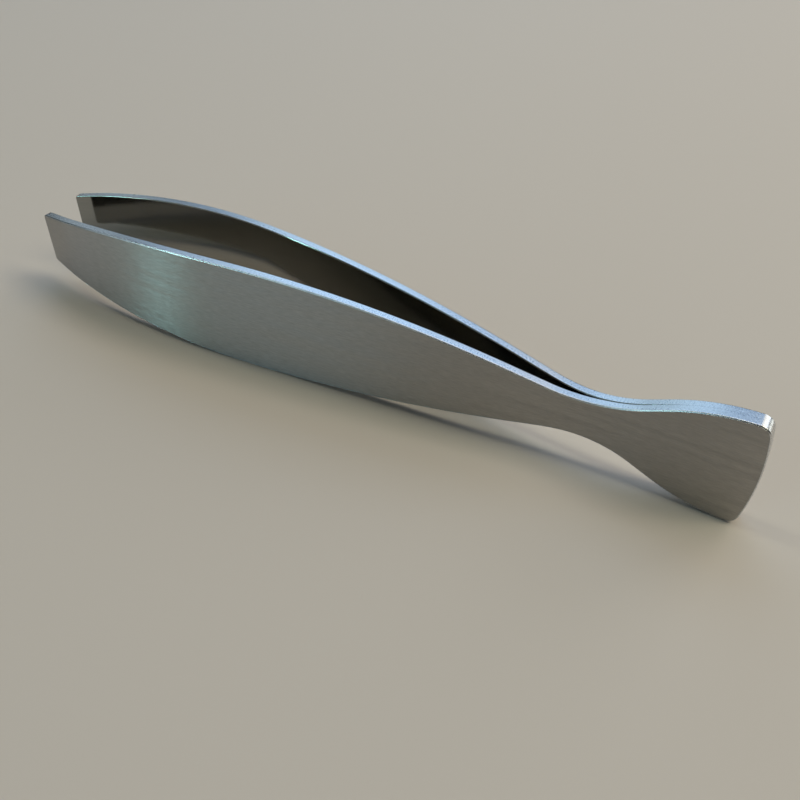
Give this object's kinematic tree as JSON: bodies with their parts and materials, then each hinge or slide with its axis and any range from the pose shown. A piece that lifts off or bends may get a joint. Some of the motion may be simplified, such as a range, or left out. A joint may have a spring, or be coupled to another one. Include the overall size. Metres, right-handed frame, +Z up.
{
  "type": "fish-bone tweezers",
  "caption": "Flat spring tweezers for pulling fish bones or splinters: bowed steel leaves joined at a flared tail, narrow neck, wide belly, inturned square tips.",
  "frame": {"origin": "on the surface it stands on, below the middle of the length and between the two leaves", "axes": "+X from the tips towards the tail end, +Y from the near leaf to the far leaf, +Z up across the width of the leaves"},
  "size_m": [0.12, 0.0144, 0.018],
  "materials": {
    "leaf_steel": "satin stainless steel, brushed along the length, polished narrow edges"
  },
  "bodies": {
    "tail": {"near_tail": "leaf_steel", "far_tail": "leaf_steel"},
    "near_arm": {"near_arm": "leaf_steel"},
    "far_arm": {"far_arm": "leaf_steel"}
  },
  "joints": [
    {"name": "near_flex", "type": "hinge", "parent": "tail", "child": "near_arm", "pos_m": [0.0342, -0.00032, 0.009], "axis": [0, 0, -1], "range_deg": [0, 1.79], "stiffness_Nm_per_rad": 10},
    {"name": "far_flex", "type": "hinge", "parent": "tail", "child": "far_arm", "pos_m": [0.0342, 0.00032, 0.009], "axis": [0, 0, 1], "range_deg": [0, 1.79], "stiffness_Nm_per_rad": 10}
  ],
  "couplings": [
    {"joint": "far_flex", "follows": "near_flex", "ratio": 1}
  ]
}
